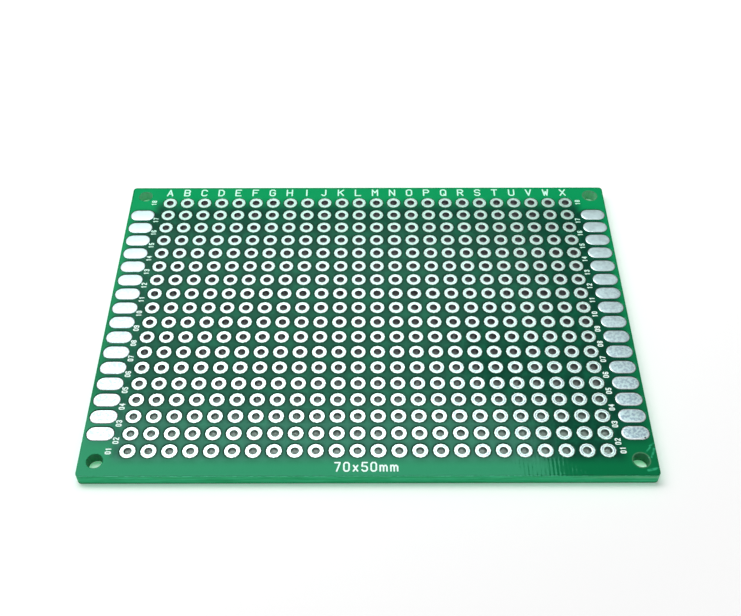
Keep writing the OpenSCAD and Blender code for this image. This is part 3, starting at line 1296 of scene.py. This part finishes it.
@dataclass(frozen=True)
class InkFinish:
    """Thin white printing ink that lets a little green through in patches, and is greener towards
    the far side.
    """

    near_color: Color = (0.82, 0.97, 0.92)
    far_color: Color = (0.56, 0.93, 0.77)
    thin_color: Color = (0.45, 0.80, 0.66)
    far: Band = (-5.0 * MM, 24.0 * MM)
    patch_noise: Noise = (4500.0, 3.0)
    thin: Band = (0.52, 0.75)
    roughness: Band = (0.3, 0.7, 0.5, 0.7)
    gloss: float = 0.3
    patch_bump: float = 0.006 * MM

    def build(self) -> Material:
        """Makes the ink's material.

        Returns:
            The new material.
        """
        graph = NodeGraph.of_material("printed_ink")
        patches = graph.noise(*self.patch_noise)
        ink = graph.axes()[1].ramp(*self.far).mix(self.near_color, self.far_color)
        return graph.principled({
            "Base Color": patches.ramp(*self.thin).mix(ink, self.thin_color),
            "Roughness": patches.ramp(*self.roughness),
            "Specular IOR Level": self.gloss,
            "Normal": graph.bump(patches, self.patch_bump),
        })


@dataclass(frozen=True)
class FloorFinish:
    """Plain pale paper that shows white to the camera and to gloss, and keeps the shadow.

    Away from the board, where the lamps don't reach, the paper is seen with a glow of its own.
    """

    paper_light: Color = (0.80, 0.80, 0.80)
    paper_dark: Color = (0.776, 0.776, 0.776)
    seen_color: Color = (0.95, 0.95, 0.95)
    glow_color: Color = (1.0, 1.0, 1.0)
    glow: Band = (0.044, 0.17, 0.0, 0.55)
    paper_noise: Noise = (300.0,)
    roughness: float = 0.9

    def build(self) -> Material:
        """Makes the floor's material.

        Returns:
            The new material.
        """
        graph = NodeGraph.of_material("pale_floor")
        seen = graph.value("LightPath", {}, "Is Camera Ray")
        for ray in ("Is Glossy Ray", "Is Transmission Ray"):
            seen = graph.math("MAXIMUM", seen, graph.value("LightPath", {}, ray))
        paper = graph.noise(*self.paper_noise).mix(self.paper_light, self.paper_dark)
        away = graph.vector("LENGTH", graph.place)
        return graph.principled({
            "Base Color": seen.mix(paper, self.seen_color),
            "Roughness": self.roughness,
            "Specular IOR Level": 0.0,
            "Emission Color": self.glow_color,
            "Emission Strength": seen * away.ramp(*self.glow),
        })


@dataclass(frozen=True)
class SoftLamp:
    """A rectangular soft lamp that looks straight down."""

    name: str
    place: tuple[float, float, float]
    width: float
    depth: float
    radiance: float

    def add(self) -> None:
        """Puts the lamp in the scene, with a power of its radiance times pi times its area."""
        data = bpy.data.lights.new(self.name, "AREA")
        data.shape = "RECTANGLE"
        data.size, data.size_y = self.width, self.depth
        data.energy = self.radiance * math.pi * self.width * self.depth
        place_object(self.name, data).location = self.place


@dataclass(frozen=True)
class Studio:
    """The floor, the light and the camera."""

    floor_half: float = 3.0
    camera_place: tuple[float, float, float] = (0.145 * MM, -91.538 * MM, 110.761 * MM)
    camera_aim: tuple[float, float, float] = (0.353 * MM, 1.315 * MM, 1.637 * MM)
    lens_mm: float = 51.44
    clip_start: float = 0.005
    sky_turn: float = 0.6
    sky_near: float = 0.80
    sky_far: float = 0.42
    lamps: tuple[SoftLamp, ...] = (
        SoftLamp("key_softbox", (-0.1193, 0.0935, 0.25), 0.3556, 0.127, 3.6),
        SoftLamp("corner_softbox", (0.0655, 0.126, 0.25), 0.014, 0.0225, 3.6),
        SoftLamp("notch_softbox", (0.0635, 0.144, 0.25), 0.010, 0.0135, 3.6),
        SoftLamp("middle_softbox", (-0.13, 0.216, 0.25), 0.34, 0.118, 1.1),
        SoftLamp("side_softbox", (0.06, 0.2375, 0.25), 0.04, 0.075, 0.7),
        SoftLamp("top_softbox", (-0.10, 0.12, 0.5), 0.40, 0.155, 2.9),
    )

    def add_floor(self) -> None:
        """Lays the floor under the board."""
        half = self.floor_half
        corners = [(-half, -half, 0.0), (half, -half, 0.0), (half, half, 0.0), (-half, half, 0.0)]
        mesh = bpy.data.meshes.new("floor")
        mesh.from_pydata(corners, [], [(0, 1, 2, 3)])
        mesh.materials.append(FloorFinish().build())
        place_object("floor", mesh)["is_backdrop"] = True

    def add_sky(self) -> None:
        """Gives the world a soft grey light, dimmer on the board's far side."""
        world = bpy.data.worlds.new("soft_room")
        bpy.context.scene.world = world
        graph = NodeGraph(world, "Generated")
        level = graph.value("MapRange", {
            "Value": graph.axes()[1], "From Min": -self.sky_turn, "From Max": self.sky_turn,
            "To Min": self.sky_near, "To Max": self.sky_far,
        })
        graph.close(graph.value("Background", {"Strength": level}))

    def add_camera(self) -> None:
        """Puts the camera where the photograph was taken from."""
        data = bpy.data.cameras.new("photo_camera")
        data.lens = self.lens_mm
        data.clip_start = self.clip_start
        camera = place_object("photo_camera", data)
        way = Vector(self.camera_aim) - Vector(self.camera_place)
        turn = way.to_track_quat("-Z", "Y").to_matrix().to_4x4()
        camera.matrix_world = Matrix.Translation(self.camera_place) @ turn
        bpy.context.scene.camera = camera

    def build(self) -> None:
        """Puts the whole studio up."""
        self.add_floor()
        self.add_sky()
        for lamp in self.lamps:
            lamp.add()
        self.add_camera()
        bpy.context.scene.view_settings.view_transform = "Standard"


def dress(piece: Piece, material: Material, slot: Slot, *nodes: str) -> None:
    """Gives a new piece its material, lets it stand for nodes and lets it ride.

    Args:
        piece: The piece.
        material: Its material.
        slot: The record's slot that it takes its finish from; not used.
        *nodes: The CAD nodes that it replaces.
    """
    piece.data.materials.append(material)
    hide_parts(*nodes)
    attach(piece, BODY)
    log.info("%s stands for %s, %d faces", piece.name, ", ".join(nodes), len(piece.data.polygons))


def dress_node(name: str, material: Material) -> None:
    """Gives a CAD node that stays a better material.

    Args:
        name: The node.
        material: Its material.
    """
    node = frame["nodes"][name]
    for slot in node.material_slots:
        slot.material = material
    if not node.material_slots:
        node.data.materials.append(material)
    log.info("%s keeps its solid", name)


@dataclass
class PrototypeBoard:
    """The whole board: laminate, two coats, plated rows, edge pads and the printed marks."""

    sizes: BoardSizes
    grid: PlanGrid = field(init=False)
    coat: Material = field(init=False)
    tin: Material = field(init=False)

    def __post_init__(self) -> None:
        """Makes the grid and the finishes that several pieces share."""
        self.grid = PlanGrid(self.sizes)
        self.coat = CoatFinish(self.sizes).build()
        self.tin = TinFinish(self.sizes).build()

    def add_sheets(self) -> None:
        """Adds the laminate and the coats on its two faces."""
        s = self.sizes
        barrel_r, bare_r = s.hole_r + s.plating_t, s.land_r + s.mask_gap
        low, high = s.laminate_low, s.laminate_high
        laminate = DrilledSheet("drilled_laminate", self.grid, low, high, barrel_r)
        dress(laminate.build(), LaminateFinish(s).build(), Slot.GLASS_EPOXY, "laminate")
        upper = DrilledSheet("upper_coat", self.grid, high, s.top, bare_r, Face.TOP)
        dress(upper.build(), self.coat, Slot.SOLDER_MASK, "solder_mask_top")
        lower = DrilledSheet("lower_coat", self.grid, 0.0, low, bare_r, Face.BOTTOM)
        dress(lower.build(), self.coat, Slot.SOLDER_MASK, "solder_mask_bottom")

    def add_metal(self) -> None:
        """Adds the plated rows and the edge pads."""
        for row in range(1, self.sizes.rows + 1):
            piece = PlatedRow(row, self.grid).build()
            dress(piece, self.tin, Slot.TINNED_COPPER, f"hole_plating_row_{row:02d}")
        for side in ("left", "right"):
            for face in Face:
                piece = EdgePads(side, face, self.grid).build()
                node = f"edge_pads_{side}_{face.name.lower()}"
                dress(piece, self.tin, Slot.TINNED_COPPER, node)

    def add_print(self) -> None:
        """Dresses the printed letters, numbers and size."""
        ink = InkFinish().build()
        for name in ("column_letters", "row_numbers_left", "row_numbers_right", "size_marking"):
            dress_node(name, ink)

    def build(self) -> None:
        """Adds every piece of the board."""
        self.add_sheets()
        self.add_metal()
        self.add_print()


def main() -> None:
    """Builds the studio and the board, then works out the CAD box and the visual model's box."""
    logging.basicConfig(level=logging.INFO, format="%(name)s: %(message)s")
    sizes = BoardSizes.from_frame()
    log.info("sizes read from the frame: %s", sizes)
    Studio().build()
    PrototypeBoard(sizes).build()
    boxes = {"cad": CAD_BOX, "visual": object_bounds()}
    plain = {name: [list(corner) for corner in box] for name, box in boxes.items()}


if __name__ == "__main__":
    main()
